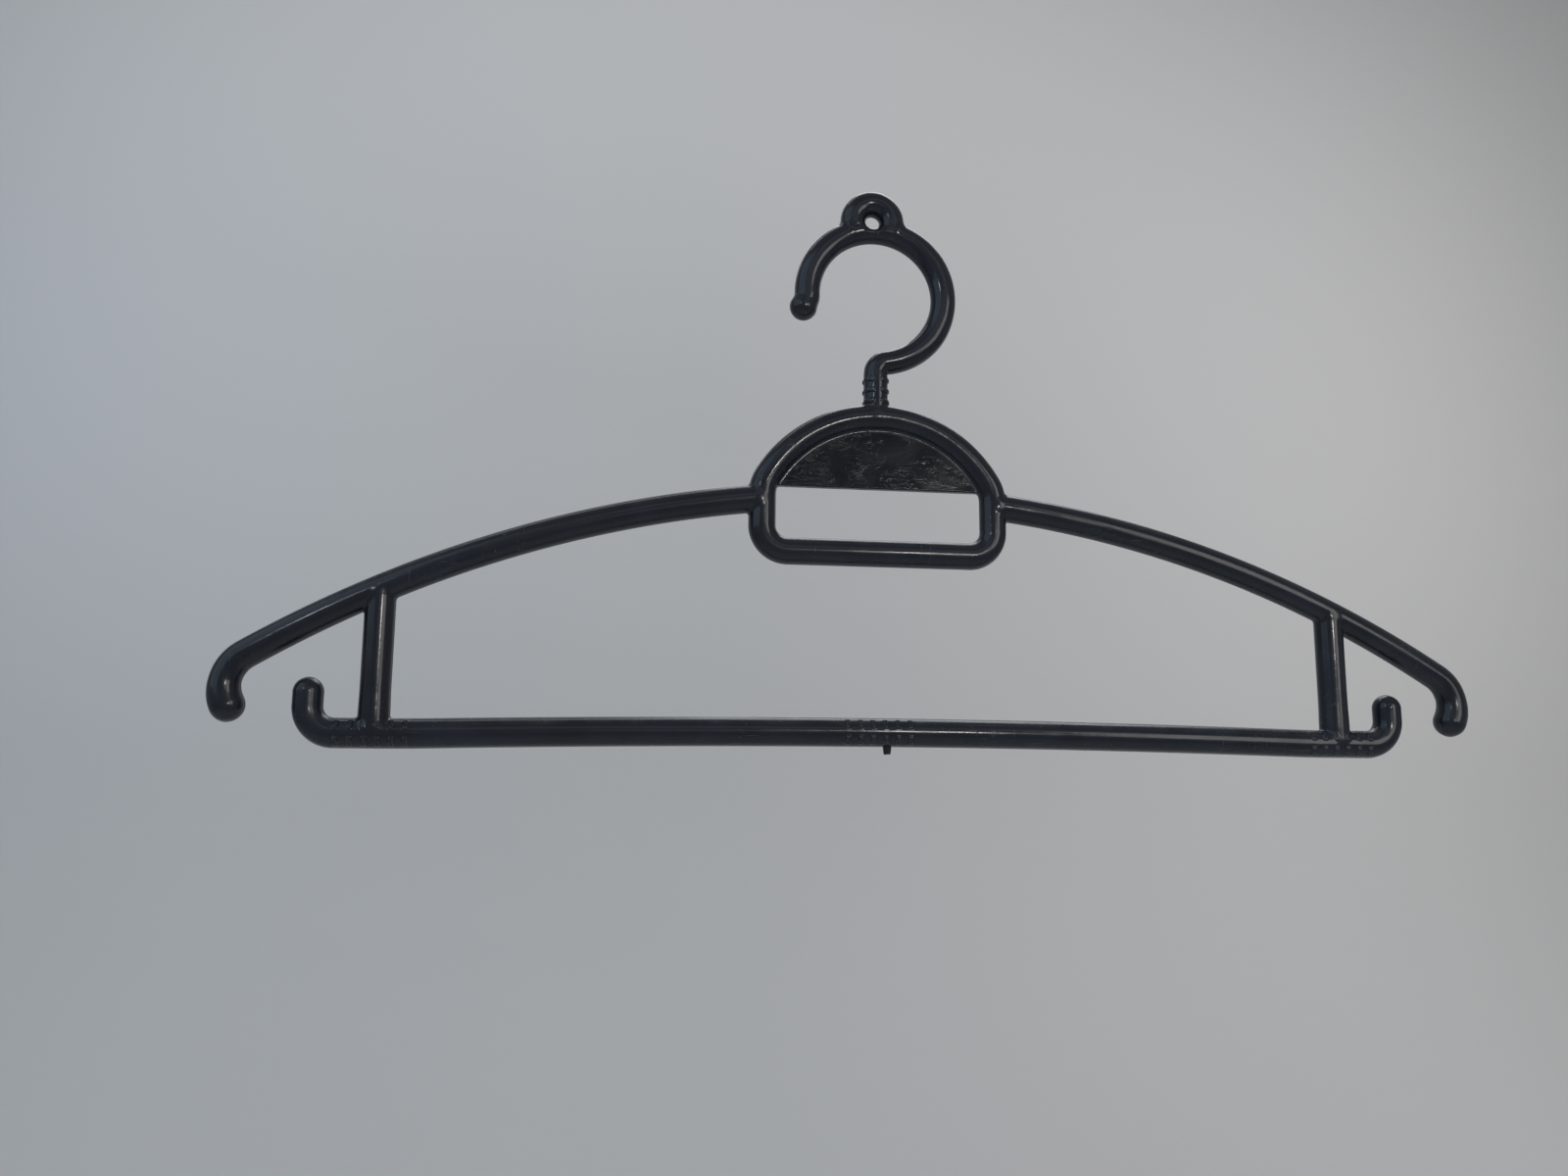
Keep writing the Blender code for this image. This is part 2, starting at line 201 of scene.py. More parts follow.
def frame_field(p):
    """The D-shaped frame: an arch, two shoulders, two sides, two corners and a foot."""
    x, y, z = p
    aside = (np.abs(x), y, z)
    inner = FRAME_X - SHOULDER_R
    shoulder_z = ARCH_Z + math.sqrt((ARCH_R - SHOULDER_R) ** 2 - inner**2)
    lean = math.degrees(math.atan2(shoulder_z - ARCH_Z, inner))
    corner = (FRAME_X - CORNER_R, FOOT_Z + CORNER_R)
    return np.minimum.reduce([
        arc(aside, (0, ARCH_Z), ARCH_R, lean, 91, ROD),
        arc(aside, (inner, shoulder_z), SHOULDER_R, 0, lean, ROD),
        line(aside, (FRAME_X, shoulder_z), (FRAME_X, corner[1]), ROD),
        arc(aside, corner, CORNER_R, -90, 0, ROD),
        line(aside, (corner[0], FOOT_Z), (-1, FOOT_Z), ROD),
    ])


def plate_field(p):
    """The half-moon web, with a rounded lower edge."""
    x, y, z = p
    dy = np.abs(y) - PLATE_HALF + PLATE_ROUND
    dz = PLATE_Z - z + PLATE_ROUND
    slab = np.hypot(np.maximum(dy, 0), np.maximum(dz, 0)) + np.minimum(np.maximum(dy, dz), 0)
    inside = np.maximum(np.hypot(x, z - ARCH_Z) - ARCH_R, np.abs(x) - FRAME_X)
    return np.maximum(slab - PLATE_ROUND, inside)


def frame_zone(p):
    body = blended(frame_field(p), plate_field(p), WEB_FILLET)
    body = blended(body, neck_field(p), NECK_FILLET)
    return blended(body, arm_field(p), FRAME_ARM_FILLET)


def neck_zone(p):
    return np.minimum(hook_field(p), blended(neck_field(p), frame_field(p), NECK_FILLET))


def upright_field(p):
    """Both uprights, a little thicker towards the foot."""
    x, y, z = p
    foot = BAR_Z + UPRIGHT_FOOT_INSET
    top = ARM_Z + math.sqrt(ARM_R**2 - UPRIGHT_X**2) - UPRIGHT_TOP_INSET
    rod = UPRIGHT_ROD + UPRIGHT_SWELL * smooth_step((-157 - z) / 10)
    return line((np.abs(x), y, z), (UPRIGHT_X, foot), (UPRIGHT_X, top), rod)


def tip_field(p):
    """Both arms' turned-down ends, growing into a ball."""
    x, y, z = p
    aside = (np.abs(x), y, z)
    slope = math.degrees(math.acos(ARM_END / ARM_R))
    end = np.array([0, ARM_Z]) + ARM_R * unit(slope)
    centre = end - TIP_R * unit(slope)
    bend = arc(aside, centre, TIP_R, slope, slope - TIP_TURN, 0)
    share = (slope - np.degrees(np.arctan2(z - centre[1], aside[0] - centre[0]))) / TIP_TURN
    grown = (TIP_ROD - ARM_ROD) * smooth_step(share / 0.5)
    return bend - ARM_ROD - grown - (TIP_BALL - TIP_ROD) * smooth_step((share - 0.45) / 0.55)


def arm_zone(p):
    body = np.minimum(arm_field(p), tip_field(p))
    return blended(body, upright_field(p), UPRIGHT_TOP_FILLET)


def bar_z(x):
    """The bar's height: it rises a little towards the middle."""
    hump = 1 - (x / BAR_HALF) ** 2
    soft = 0.06
    return BAR_Z + BAR_RISE * 0.5 * (hump + np.sqrt(hump * hump + soft * soft))


def bar_zone(p):
    """The trouser bar with its three rib groups, its strap hooks and the uprights."""
    x, y, z = p
    aside = np.abs(x)
    along = np.minimum(aside, BAR_BEND_X)
    centre_z = bar_z(along)
    first_rib = (GRIP_RIBS - 1) / 2 * GRIP_PITCH
    end_ribs = rib_row(aside, UPRIGHT_X - first_rib, GRIP_RIBS, GRIP_PITCH)
    middle_ribs = rib_row(x, GRIP_MIDDLE_X - first_rib, GRIP_RIBS, GRIP_PITCH)
    ribs = np.maximum(end_ribs, middle_ribs) * rib_window(z - centre_z, y)
    bar = np.hypot(np.hypot(aside - along, z - centre_z), y) - BAR_ROD - RIB_HEIGHT * ribs
    bend_z = BAR_Z + BAR_BEND_R
    folded = (aside, y, z)
    bend = arc(folded, (BAR_BEND_X, bend_z), BAR_BEND_R, -90, 0, BAR_ROD)
    side = BAR_BEND_X + BAR_BEND_R
    rise = line(folded, (side, bend_z), (side, bend_z + STRAP_RISE), BAR_ROD)
    body = np.minimum.reduce([bar, bend, rise])
    return blended(body, upright_field(p), UPRIGHT_FOOT_FILLET)


def gate_field(p):
    """The broken-off stub of the sprue, a little ragged at its end."""
    x, y, z = p
    drop = -(z + 173.5)
    ragged = 0.12 * np.sin(3.1 * x + 1.0) * np.cos(2.7 * y) + 0.10 * np.sin(5.3 * (x + y))
    round_side = np.hypot(x - GATE_X, y) - (GATE_ROD + GATE_ROUND - 0.12 * drop)
    ends = np.maximum(z - GATE_TOP, GATE_FOOT + ragged + 0.12 * (x - GATE_X) - z)
    u, v = np.maximum(round_side + GATE_ROUND, 0), np.maximum(ends + GATE_ROUND, 0)
    inside = np.minimum(np.maximum(round_side, ends) + GATE_ROUND, 0)
    return np.hypot(u, v) - GATE_ROUND + inside


# ---------------------------------------------------------------- meshing


def gradient(field, points, reach=0.02):
    """The field's slope at the points, by central differences."""
    found = np.empty_like(points)
    for axis in range(3):
        step = np.zeros((1, 3))
        step[0, axis] = reach
        ahead = field((points + step).T)
        behind = field((points - step).T)
        found[:, axis] = (ahead - behind) / (2 * reach)
    return found


def settled(field, points, rounds=3):
    """The points moved onto the surface."""
    for _ in range(rounds):
        slope = gradient(field, points)
        size = np.maximum((slope**2).sum(1), 0.2)
        points = points - slope * (field(points.T) / size)[:, None]
    return points


def net(field, low, high, step):
    """A triangle mesh of the field's surface inside a box, by surface nets."""
    counts = [int(math.ceil((b - a) / step)) + 1 for a, b in zip(low, high)]
    axes = [a + step * np.arange(n) for a, n in zip(low, counts)]
    grid = np.meshgrid(*axes, indexing="ij")
    values = field(grid)
    inside = values < 0

    # One point in every cell that the surface passes through, amid its crossings.
    corner_steps = [(i, j, k) for i in (0, 1) for j in (0, 1) for k in (0, 1)]
    cells = [n - 1 for n in counts]
    total = np.zeros(cells, int)
    for i, j, k in corner_steps:
        total += inside[i:i + cells[0], j:j + cells[1], k:k + cells[2]]
    mixed = np.argwhere((total > 0) & (total < 8))
    index = np.full(cells, -1)
    index[tuple(mixed.T)] = np.arange(len(mixed))
    sums = np.zeros((len(mixed), 3))
    hits = np.zeros(len(mixed))
    corners = {s: values[tuple((mixed + s).T)] for s in corner_steps}
    for near in corner_steps:
        for axis in range(3):
            if near[axis]:
                continue
            far = tuple(1 if a == axis else near[a] for a in range(3))
            a, b = corners[near], corners[far]
            crosses = (a < 0) != (b < 0)
            share = np.where(crosses, a / np.where(crosses, a - b, 1), 0)
            place = np.array(near, float)[None] + share[:, None] * np.eye(3)[axis]
            sums += place * crosses[:, None]
            hits += crosses
    points = np.array(low) + step * (mixed + sums / hits[:, None])

    # One quad round every grid edge that the surface crosses, wound to face outwards.
    quads = []
    for axis in range(3):
        side, up = (axis + 1) % 3, (axis + 2) % 3
        moved = np.moveaxis(inside, (axis, side, up), (0, 1, 2))
        cell = np.moveaxis(index, (axis, side, up), (0, 1, 2))
        near, far = moved[:-1, 1:-1, 1:-1], moved[1:, 1:-1, 1:-1]
        for a, b in ((near, far), (far, near)):
            at = np.argwhere(a & ~b)
            if not len(at):
                continue
            i, j, k = at.T
            ring = [cell[i, j, k], cell[i, j + 1, k], cell[i, j + 1, k + 1], cell[i, j, k + 1]]
            if a is far:
                ring.reverse()
            quads.append(np.stack(ring, 1))
    quads = np.concatenate(quads)
    points = settled(field, points)
    points = relaxed(field, points, quads)

    # Two triangles to a quad, split along its shorter diagonal.
    a, b, c, d = (points[quads[:, i]] for i in range(4))
    short = ((a - c) ** 2).sum(1) <= ((b - d) ** 2).sum(1)
    first = np.where(short[:, None], quads[:, [0, 1, 2]], quads[:, [0, 1, 3]])
    second = np.where(short[:, None], quads[:, [0, 2, 3]], quads[:, [1, 2, 3]])
    return points, np.concatenate([first, second])


def relaxed(field, points, quads, rounds=3):
    """Evens out the mesh along the surface, leaving its open edges in place."""
    ends = np.concatenate([quads[:, [i, (i + 1) % 4]] for i in range(4)])
    both = np.concatenate([ends, ends[:, ::-1]])
    _, back, uses = np.unique(
        np.sort(ends, 1), axis=0, return_inverse=True, return_counts=True)
    loose = np.unique(ends[uses[back.reshape(-1)] == 1])
    count = np.bincount(both[:, 0], minlength=len(points))
    for _ in range(rounds):
        mean = np.stack([
            np.bincount(both[:, 0], points[both[:, 1], axis], len(points)) for axis in range(3)
        ], 1) / np.maximum(count, 1)[:, None]
        moved = points + 0.5 * (mean - points)
        moved[loose] = points[loose]
        points = settled(field, moved, 2)
    return points


def clipped(points, faces, keep):
    """The mesh where keep(points) is positive, and the edges along the cut."""
    side = keep(points.T)
    side = np.where(np.abs(side) < 1e-5, 1e-5, side)
    up = side > 0
    count = up[faces].sum(1)
    kept = [faces[count == 3]]
    new_points, made, cut_edges = [], {}, []

    def crossing(a, b):
        key = (min(a, b), max(a, b))
        if key not in made:
            share = side[key[0]] / (side[key[0]] - side[key[1]])
            made[key] = len(points) + len(new_points)
            new_points.append(points[key[0]] + share * (points[key[1]] - points[key[0]]))
        return made[key]

    extra = []
    for face in faces[(count > 0) & (count < 3)]:
        lone = [i for i in range(3) if up[face[i]] == (up[face].sum() == 1)][0]
        a, b, c = (int(face[(lone + i) % 3]) for i in range(3))
        ab, ac = crossing(a, b), crossing(a, c)
        if up[a]:
            extra.append((a, ab, ac))
            cut_edges.append((ab, ac))
        else:
            extra += [(ab, b, c), (ab, c, ac)]
            cut_edges.append((ac, ab))
    if extra:
        kept.append(np.array(extra))
        points = np.concatenate([points, np.array(new_points)])
    return points, np.concatenate(kept), cut_edges


def loops_of(edges):
    """The closed loops of point numbers that directed edges make."""
    after = dict(edges)
    found = []
    while after:
        start, at = next(iter(after.items()))
        loop = [start]
        del after[start]
        while at != start:
            loop.append(at)
            at = after.pop(at)
        found.append(loop)
    return found


def spaced(points, least, closed):
    """The points of a line, without those too close to the one before."""
    kept = [0]
    for i in range(1, len(points)):
        if np.linalg.norm(points[i] - points[kept[-1]]) >= least:
            kept.append(i)
    last = points[0] if closed else points[-1]
    while len(kept) > 2 and np.linalg.norm(points[kept[-1]] - last) < least:
        kept.pop()
    return points[kept] if closed else np.concatenate([points[kept], points[-1:]])


def seam(field, points, faces):
    """The parting line's fine ridge, where the mould's halves met: thin closed beads.

    Gives their points, faces and normals per face corner, or None where no line runs.
    """
    at, _, edges = clipped(points, faces, lambda p: p[1])
    after = dict(edges)
    starts = [a for a in after if a not in set(after.values())]
    beads = []
    while after:
        start = starts.pop() if starts else next(iter(after))
        run = [start]
        while run[-1] in after:
            run.append(after.pop(run[-1]))
        closed = run[0] == run[-1]
        if len(run) > 6:
            beads.append((at[run[:-1] if closed else run], closed))
    found_points, found_faces, found_normals, base = [], [], [], 0
    for line_points, closed in beads:
        line_points = spaced(line_points, SEAM_SPACING, closed) * [1, 0, 1]
        line_points = settled(field, line_points, 2)
        out = gradient(field, line_points)
        out /= np.linalg.norm(out, axis=1)[:, None]
        side = np.array([[0, SEAM_HALF_WIDTH, 0]])
        rings = np.stack([
            line_points + SEAM_HEIGHT * out,
            line_points - SEAM_EDGE_SINK * out + side,
            line_points - SEAM_SINK * out,
            line_points - SEAM_EDGE_SINK * out - side,
        ], 1)
        # Each of the bead's four flanks has a normal that leans out and aside.
        leans = (out + side * 3, -out + side * 9, -out - side * 9, out - side * 3)
        count = len(rings)
        for i in range(count if closed else count - 1):
            j = (i + 1) % count
            for k in range(4):
                m = (k + 1) % 4
                corners = (i * 4 + k, j * 4 + k, j * 4 + m, i * 4 + m)
                found_faces.append([base + corners[n] for n in (0, 1, 2)])
                found_faces.append([base + corners[n] for n in (0, 2, 3)])
                near, far = leans[k][i], leans[k][j]
                found_normals += [near, far, far, near, far, near]
        if not closed:
            for i, turned in ((0, False), (count - 1, True)):
                ring = [base + i * 4 + k for k in ((3, 2, 1, 0) if turned else (0, 1, 2, 3))]
                along = line_points[i] - line_points[i - 1 if turned else i + 1]
                found_faces += [[ring[0], ring[1], ring[2]], [ring[0], ring[2], ring[3]]]
                found_normals += [along] * 6
        found_points.append(rings.reshape(-1, 3))
        base += 4 * count
    if not found_points:
        return None
    return np.concatenate(found_points), np.array(found_faces), np.array(found_normals)


def body_mesh(name, field, low, high, step, keeps, ridge=True):
    """A closed mesh of the field between cuts, with shading that follows the field itself."""
    points, faces = net(field, low, high, step)
    points, faces, caps = cut(points, faces, keeps)
    return finish_mesh(name, field, points, faces, caps, ridge)


def cut(points, faces, keeps):
    """The mesh after each cut in turn, and the flat caps that close the cuts."""
    caps = []
    for keep in keeps:
        points, faces, edges = clipped(points, faces, keep)
        caps += [fan(points[loop]) for loop in loops_of(edges)]
    return points, faces, caps


def fan(loop):
    """Triangles that close a loop of points, from a point at its middle."""
    centre = loop.mean(0)
    count = len(loop)
    return [(loop[(i + 1) % count], loop[i], centre) for i in range(count)]


def facing(triangles):
    """The unit normal of a flat patch of triangles."""
    area = np.zeros(3)
    for a, b, c in triangles:
        area += np.cross(b - a, c - a)
    return area / np.linalg.norm(area)


def edge_wear(field, points, reach=0.16):
    """0 on plain rod and up to 1 on sharp convex edges, from the field's curvature."""
    total = -6 * field(points.T)
    for axis in range(3):
        step = np.zeros((1, 3))
        step[0, axis] = reach
        total = total + field((points + step).T) + field((points - step).T)
    return smooth_step((total / reach**2 - 0.5) / 1.6)


def finish_mesh(name, field, points, faces, caps, ridge=True):
    """An object made of the surface, its caps and the parting line's bead."""
    used = np.unique(faces)
    order = np.full(len(points), -1)
    order[used] = np.arange(len(used))
    points, faces = points[used], order[faces]
    slope = gradient(field, points)
    slope /= np.linalg.norm(slope, axis=1)[:, None]
    normals = [slope[faces].reshape(-1, 3)]
    bead = seam(field, points, faces) if ridge else None
    lookup = {tuple(np.round(p, 6)): i for i, p in enumerate(points)}
    extra_points, extra_faces = [], []
    for triangles in caps:
        flat = facing(triangles)
        for triangle in triangles:
            ids = []
            for corner in triangle:
                key = tuple(np.round(corner, 6))
                if key not in lookup:
                    lookup[key] = len(points) + len(extra_points)
                    extra_points.append(corner)
                ids.append(lookup[key])
            extra_faces.append(ids)
        normals.append(np.repeat(flat[None], 3 * len(triangles), 0))
    if extra_points:
        points = np.concatenate([points, np.array(extra_points)])
    if extra_faces:
        faces = np.concatenate([faces, np.array(extra_faces)])
    if bead is not None:
        faces = np.concatenate([faces, bead[1] + len(points)])
        points = np.concatenate([points, bead[0]])
        normals.append(bead[2] / np.linalg.norm(bead[2], axis=1)[:, None])
    normals = np.concatenate(normals)
    worn = edge_wear(field, points)
    if bead is not None:
        worn[-len(bead[0]):] = 0.6
    mesh = bpy.data.meshes.new(name)
    mesh.from_pydata((points / 1000).tolist(), [], faces.tolist())
    mesh.polygons.foreach_set("use_smooth", [True] * len(faces))
    mesh.normals_split_custom_set(normals.tolist())
    mesh.attributes.new("wear", "FLOAT", "POINT").data.foreach_set("value", worn)
    mesh.update()
    piece = bpy.data.objects.new(name, mesh)
    bpy.context.scene.collection.objects.link(piece)
    return piece


def above(axis, value):
    """A cut that keeps what lies beyond a value along an axis."""
    return lambda p: p[axis] - value


def below(axis, value):
    return lambda p: value - p[axis]


def past(at, heading, sign=1):
    """A cut square to a rod, which keeps what lies beyond it; sign -1 is the left side."""
    return lambda p: (sign * p[0] - at[0]) * heading[0] + (p[2] - at[1]) * heading[1]


def opposite(keep):
    return lambda p: -keep(p)


# ---------------------------------------------------------------- material

DARK_NAVY = (0.0105, 0.0140, 0.0225, 1)
LIGHT_NAVY = (0.0175, 0.0225, 0.0350, 1)
PLATE_PAINTED_SHADE = (0.004, 0.005, 0.007, 1)
SCUFF = (0.085, 0.090, 0.100, 1)
FLOW = (0.070, 0.072, 0.078, 1)
DUST_AND_SHEEN = (0.16, 0.155, 0.145, 1)
# How far each relief stands out, in metres.
PEEL_RELIEF, GRAIN_RELIEF, FLOW_RELIEF = 0.00005, 0.0000022, 0.00004


class Graph:
    """A short way to add shader nodes to one material; values may be sockets or numbers."""

    def __init__(self, material):
        material.use_nodes = True
        self.tree = material.node_tree
        self.shader = self.tree.nodes["Principled BSDF"]
        self.place = self.tree.nodes.new("ShaderNodeTexCoord").outputs["Object"]

    def put(self, socket, value):
        if isinstance(value, bpy.types.NodeSocket):
            self.tree.links.new(value, socket)
        else:
            socket.default_value = value

    def stretched(self, scale, turn=(0, 0, 0)):
        node = self.tree.nodes.new("ShaderNodeMapping")
        node.inputs["Scale"].default_value = scale
        node.inputs["Rotation"].default_value = [math.radians(a) for a in turn]
        self.put(node.inputs["Vector"], self.place)
        return node.outputs["Vector"]

    def noise(self, scale, detail=2.0, wander=0.0, where=None):
        node = self.tree.nodes.new("ShaderNodeTexNoise")
        node.inputs["Scale"].default_value = scale
        node.inputs["Detail"].default_value = detail
        node.inputs["Distortion"].default_value = wander
        self.put(node.inputs["Vector"], where if where is not None else self.place)
        return node.outputs["Fac"]

    def between(self, value, low, high, to_low=0.0, to_high=1.0):
        """A smooth rise of the result while the value goes from low to high."""
        node = self.tree.nodes.new("ShaderNodeMapRange")
        node.interpolation_type = "SMOOTHSTEP"
        node.inputs["From Min"].default_value = low
        node.inputs["From Max"].default_value = high
        node.inputs["To Min"].default_value = to_low
        node.inputs["To Max"].default_value = to_high
        self.put(node.inputs["Value"], value)
        return node.outputs["Result"]

    def maths(self, kind, a, b):
        node = self.tree.nodes.new("ShaderNodeMath")
        node.operation = kind
        self.put(node.inputs[0], a)
        self.put(node.inputs[1], b)
        return node.outputs[0]

    def scaled(self, value, factor):
        return self.maths("MULTIPLY", value, factor)

    def mixed(self, share, first, second):
        node = self.tree.nodes.new("ShaderNodeMix")
        node.data_type = "RGBA"
        self.put(node.inputs["Factor"], share)
        self.put(node.inputs["A"], first)
        self.put(node.inputs["B"], second)
        return node.outputs["Result"]

    def bumped(self, height, distance, under=None):
        node = self.tree.nodes.new("ShaderNodeBump")
        node.inputs["Strength"].default_value = 1.0
        node.inputs["Distance"].default_value = distance
        self.put(node.inputs["Height"], height)
        if under is not None:
            self.put(node.inputs["Normal"], under)
        return node.outputs["Normal"]


def plastic(name, plate=False):
    """Moulded polypropylene: cloudy pigment, orange peel, fine grain, scratches, worn edges."""
    material = bpy.data.materials.new(name)
    graph = Graph(material)
    cloud = graph.between(graph.noise(26, 4, 1.4), 0.30, 0.70)
    colour = graph.mixed(cloud, DARK_NAVY, LIGHT_NAVY)
    smudge = graph.noise(70, 3, 0.6)
    rough = graph.between(smudge, 0.30, 0.72, 0.13, 0.23)
    peel = graph.bumped(graph.noise(240, 2), PEEL_RELIEF)
    normal = graph.bumped(graph.noise(2600, 2), GRAIN_RELIEF, peel)

    # Fine scratches in two directions, in patches.
    long_lines = graph.noise(1, 2, 0.15, graph.stretched((60, 900, 1500), (0, 24, 0)))
    cross_lines = graph.noise(1, 2, 0.15, graph.stretched((1300, 900, 70), (0, 35, 12)))
    long_cut = graph.between(long_lines, 0.66, 0.72)
    cross_cut = graph.between(cross_lines, 0.67, 0.73)
    patches = graph.between(graph.noise(45, 1), 0.46, 0.60)
    cuts = graph.maths("MULTIPLY", graph.maths("MAXIMUM", long_cut, cross_cut), patches)
    colour = graph.mixed(graph.scaled(cuts, 0.35), colour, SCUFF)
    rough = graph.maths("ADD", rough, graph.scaled(cuts, 0.22))

    # The web is darkened with painted shade, and has wispy flow marks along two noises' middle
    # lines.
    if plate:
        colour = graph.mixed(0.6, colour, PLATE_PAINTED_SHADE)
        flow = graph.noise(1, 3, 0.9, graph.stretched((70, 300, 420), (0, 9, 0)))
        curl = graph.noise(1, 3, 1.6, graph.stretched((110, 300, 260), (0, -14, 0)))
        wisps = []
        for lines in (flow, curl):
            off_middle = graph.maths("ABSOLUTE", graph.maths("SUBTRACT", lines, 0.5), 0.0)
            wisps.append(graph.between(off_middle, 0.0, 0.03, 1, 0))
        patch = graph.between(graph.noise(46, 2, 0.8), 0.44, 0.60)
        streak = graph.maths("MULTIPLY", graph.maths("MAXIMUM", *wisps), patch)
        colour = graph.mixed(graph.scaled(streak, 0.36), colour, FLOW)
        rough = graph.maths("ADD", rough, graph.scaled(streak, 0.20))
        normal = graph.bumped(streak, FLOW_RELIEF, normal)
        graph.shader.inputs["Specular IOR Level"].default_value = 0.28

    # Ribs and the parting line are rubbed lighter.
    wear = graph.tree.nodes.new("ShaderNodeAttribute")
    wear.attribute_name = "wear"
    ragged = graph.between(graph.noise(900, 3), 0.35, 0.62)
    worn = graph.maths("MULTIPLY", wear.outputs["Fac"], ragged)
    colour = graph.mixed(graph.scaled(worn, 0.45), colour, SCUFF)
    rough = graph.maths("ADD", rough, graph.scaled(worn, 0.16))

    # Faces turned up get a lighter film, part dust and part painted sheen from above, and dust
    # specks.
    facing_up = graph.tree.nodes.new("ShaderNodeSeparateXYZ")
    surface = graph.tree.nodes.new("ShaderNodeNewGeometry")
    graph.put(facing_up.inputs[0], surface.outputs["Normal"])
    up = graph.between(facing_up.outputs["Z"], 0.35, 0.95)
    specks = graph.between(graph.noise(3400, 1), 0.66, 0.74)
    dust_and_sheen_film = graph.between(graph.noise(120, 4), 0.35, 0.75, 0.05, 0.30)
    dust_and_sheen = graph.maths("MULTIPLY", up, graph.maths("ADD", dust_and_sheen_film, graph.scaled(specks, 0.5)))
    colour = graph.mixed(dust_and_sheen, colour, DUST_AND_SHEEN)
    rough = graph.maths("ADD", rough, graph.scaled(dust_and_sheen, 0.35))

    graph.put(graph.shader.inputs["Base Color"], colour)
    graph.put(graph.shader.inputs["Roughness"], rough)
    graph.put(graph.shader.inputs["Normal"], normal)
    graph.shader.inputs["IOR"].default_value = 1.49
    return material


PLASTIC = plastic("navy_polypropylene")
PLATE_PLASTIC = plastic("navy_polypropylene_plate", plate=True)


def show(piece, *nodes):
    """Puts a finished piece in the place of its CAD nodes."""
    piece.data.materials.append(PLATE_PLASTIC if "label_plate" in nodes else PLASTIC)
    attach(piece, "root")
    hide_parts(*nodes)


# ---------------------------------------------------------------- the members

# Where neighbouring members part: heights, and distances from the middle.
EYE_CUT, NECK_CUT, FOOT_CUT, ARM_CUT = 7.0, BEND_CENTRE_Z, -56.0, 47.5
POST_TOP, POST_FOOT = -136.5, -165.3
# The middle of a net's cells falls on y = 0 at this depth, so the web's rim is symmetrical.
FRAME_DEPTH, FRAME_STEP = 6.075, 0.45
DEPTH = 6


def build_hook():
    past_end = past(HOOK_STOP, unit(HOOK_END + 90))

    def past_hook_end(p):
        """Positive beyond the end of the hook's circle, on the hook's open side only."""
        return np.where(p[0] < -10, past_end(p), -5.0)

    show(body_mesh("hanging_eye_look", hook_zone, (-15, -DEPTH, 4), (13, DEPTH, 19.5), 0.36,
                   [above(2, EYE_CUT)]), "hanging_eye")
    show(body_mesh("rail_hook_look", hook_zone, (-34, -DEPTH, -52), (30, DEPTH, 10), 0.42,
                   [below(2, EYE_CUT), above(2, NECK_CUT), opposite(past_hook_end)]),
         "rail_hook")
    show(body_mesh("hook_tip_look", hook_zone, (-34, -DEPTH, -32), (-16, DEPTH, -14), 0.36,
                   [past_hook_end]), "hook_tip")
    show(body_mesh("neck_look", neck_zone, (-6, -DEPTH, -60), (6, DEPTH, -44), 0.25,
                   [below(2, NECK_CUT), above(2, FOOT_CUT)]), "neck")


def edge_loop(faces):
    """The directed edges that only one of these faces uses."""
    ends = np.concatenate([faces[:, [i, (i + 1) % 3]] for i in range(3)])
    seen = {tuple(e) for e in ends.tolist()}
    return [e for e in seen if (e[1], e[0]) not in seen]


def web_wall(points, edges):
    """Closes the web's rim: each edge on the front joins its mirror image on the back."""
    ids = sorted({i for edge in edges for i in edge})
    rim = points[ids]
    mirrored = rim * [1, -1, 1]
    partner = {}
    for i, place in zip(ids, mirrored):
        partner[i] = ids[int(((rim - place) ** 2).sum(1).argmin())]
    triangles = []
    for a, b in edges:
        if points[a][1] + points[b][1] >= -1e-6:
            continue
        c, d = partner[a], partner[b]
        if c != a:
            triangles.append((points[b], points[a], points[c]))
        if d != b:
            triangles.append((points[b], points[c], points[d]))
    return triangles


def is_web(middle):
    """Whether quads with these middles lie on the flat web rather than on the frame."""
    web = (frame_field(middle.T) > 1.3) & (np.abs(middle[:, 1]) < 1.7)
    web &= middle[:, 2] > PLATE_Z - 1.5
    return web & (np.hypot(middle[:, 0], middle[:, 2] - ARCH_Z) < ARCH_R)


def build_frame():
    """The frame and its web: one net, parted along the web's rim."""
    points, faces = net(frame_zone, (-50.4, -FRAME_DEPTH, -117), (50.4, FRAME_DEPTH, -54),
                        FRAME_STEP)
    # Each quad's two triangles stand at the same place in the two halves of the list.
    half = len(faces) // 2
    middle = (points[faces[:half]].mean(1) + points[faces[half:]].mean(1)) / 2
    web = is_web(middle)
    web = np.concatenate([web, web])
    wall = web_wall(points, edge_loop(faces[web]))
    show(finish_mesh("label_plate_look", frame_zone, points, faces[web], [wall], False),
         "label_plate")
    points, ring_faces, caps = cut(points, faces[~web], [
        below(2, FOOT_CUT), below(0, ARM_CUT), above(0, -ARM_CUT)])
    wall_behind = [(a, c, b) for a, b, c in wall]
    show(finish_mesh("top_frame_look", frame_zone, points, ring_faces, [wall_behind] + caps),
         "top_frame")


